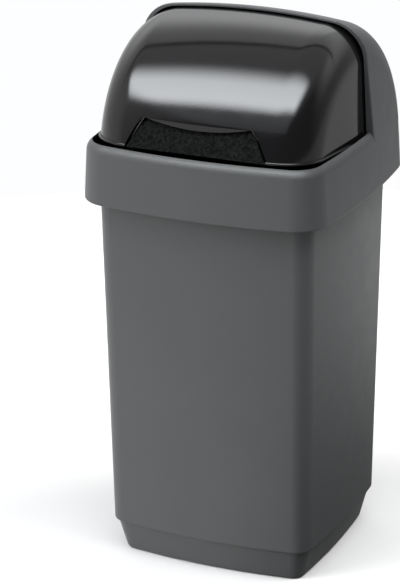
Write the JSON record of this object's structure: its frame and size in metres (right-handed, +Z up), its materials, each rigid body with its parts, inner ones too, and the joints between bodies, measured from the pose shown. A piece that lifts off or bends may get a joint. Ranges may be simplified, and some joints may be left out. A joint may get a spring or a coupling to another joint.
{
  "type": "roll top bin",
  "caption": "Tall tapered household bin with a lift-off top frame, a fixed rear hood and a curved front lid that rolls back under the hood.",
  "frame": {"origin": "on the floor under the middle of the tub, on the underside of its base", "axes": "+Z up, the lid opens at the front, towards -Y, and the hood is at the back, towards +Y"},
  "size_m": [0.1996, 0.2059, 0.4196],
  "materials": {
    "grey_plastic": "satin, fine grain",
    "black_plastic": "polished",
    "stud_plastic": "smooth"
  },
  "bodies": {
    "tub": {"bin_body": "grey_plastic"},
    "top_frame": {"lid_frame": "grey_plastic", "pivot_stud_right": "stud_plastic", "pivot_stud_left": "stud_plastic"},
    "lid": {"roll_lid": "black_plastic"}
  },
  "joints": [
    {"name": "lift_off", "type": "slide", "parent": "tub", "child": "top_frame", "axis": [0, 0, 1], "range_m": [0, 0.1]},
    {"name": "lid_roll", "type": "hinge", "parent": "top_frame", "child": "lid", "pos_m": [0, 0.0037, 0.321], "axis": [-1, 0, 0], "range_deg": [0, 84]}
  ]
}
